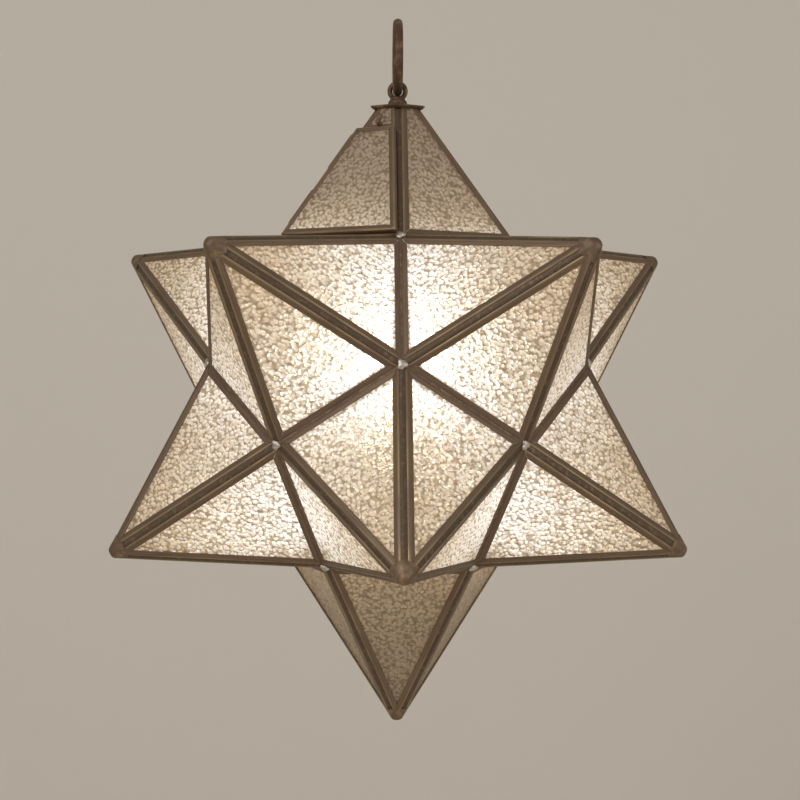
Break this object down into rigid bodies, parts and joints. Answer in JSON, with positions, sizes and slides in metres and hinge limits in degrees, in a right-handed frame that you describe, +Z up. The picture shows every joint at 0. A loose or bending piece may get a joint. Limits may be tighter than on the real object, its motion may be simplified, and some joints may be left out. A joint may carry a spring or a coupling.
{
  "type": "moravian star pendant lamp",
  "caption": "Hanging star lantern of textured glass panes in folded brass channel, with a hinged door near its cap, a lamp holder and a removable bulb inside, hung from a ring.",
  "frame": {"origin": "inside the top of the hanging ring, where a hook bears, on the star's upright axis", "axes": "+Z up along the star's axis, the front of the star towards -Y, its right as seen from the front towards +X"},
  "size_m": [0.3068, 0.3222, 0.3891],
  "materials": {
    "antique_brass": "dark antique patina, rubbed bright on the edges",
    "dark_solder": "solder with a dark patina",
    "textured_glass": "clear rolled glass with a small pebbled relief",
    "bulb_glass": "clear polished",
    "black_glass": "black insulating glass",
    "bright_metal": "bright rolled sheet",
    "white_ceramic": "glazed porcelain",
    "holder_plastic": "black moulded, matt",
    "filament": "glowing wire"
  },
  "bodies": {
    "ring": {"hanging_ring": "antique_brass"},
    "star": {"frames_upper_front_left": "antique_brass", "frames_upper_front_right": "antique_brass", "frames_upper_left": "antique_brass", "frames_upper_right": "antique_brass", "frames_upper_back": "antique_brass", "frames_lower_front": "antique_brass", "frames_lower_left": "antique_brass", "frames_lower_right": "antique_brass", "frames_lower_back_left": "antique_brass", "frames_lower_back_right": "antique_brass", "frames_bottom": "antique_brass", "frames_top": "antique_brass", "frame_doorway": "antique_brass", "cap_plate": "antique_brass", "hanging_eye": "antique_brass", "stem_collar": "antique_brass", "stem_nuts": "antique_brass", "hinge_knuckles_fixed": "antique_brass", "hinge_pins": "antique_brass", "latch_post": "antique_brass", "tip_solder": "dark_solder", "panes_upper_front_left": "textured_glass", "panes_upper_front_right": "textured_glass", "panes_upper_left": "textured_glass", "panes_upper_right": "textured_glass", "panes_upper_back": "textured_glass", "panes_lower_front": "textured_glass", "panes_lower_left": "textured_glass", "panes_lower_right": "textured_glass", "panes_lower_back_left": "textured_glass", "panes_lower_back_right": "textured_glass", "panes_bottom": "textured_glass", "panes_top": "textured_glass", "pane_transom": "textured_glass", "lampholder_cap": "antique_brass", "lampholder_sleeve": "holder_plastic", "lampholder_core": "white_ceramic", "lampholder_shell": "bright_metal", "lampholder_contact": "bright_metal"},
    "door": {"door_frame": "antique_brass", "door_pane": "textured_glass", "hinge_knuckles_door": "antique_brass"},
    "latch": {"latch_button": "antique_brass"},
    "bulb": {"bulb_globe": "bulb_glass", "bulb_screw": "bright_metal", "bulb_insulator": "black_glass", "bulb_contact": "bright_metal", "bulb_mount": "bulb_glass", "bulb_filament": "filament"}
  },
  "joints": [
    {"name": "star_swing", "type": "hinge", "parent": "ring", "child": "star", "pos_m": [0, 0, -0.0344], "axis": [0, 1, 0], "range_deg": [-60, 60]},
    {"name": "door_hinge", "type": "hinge", "parent": "star", "child": "door", "pos_m": [-0.04738, -0.01611, -0.09237], "axis": [-0.5603, -0.1821, -0.808], "range_deg": [0, 140]},
    {"name": "latch_turn", "type": "hinge", "parent": "star", "child": "latch", "pos_m": [-0.01095, -0.01916, -0.05385], "axis": [-0.5063, -0.6968, 0.5081], "range_deg": [0, 180]},
    {"name": "bulb_out", "type": "slide", "parent": "star", "child": "bulb", "axis": [0, 0, -1], "range_m": [0, 0.03]}
  ]
}
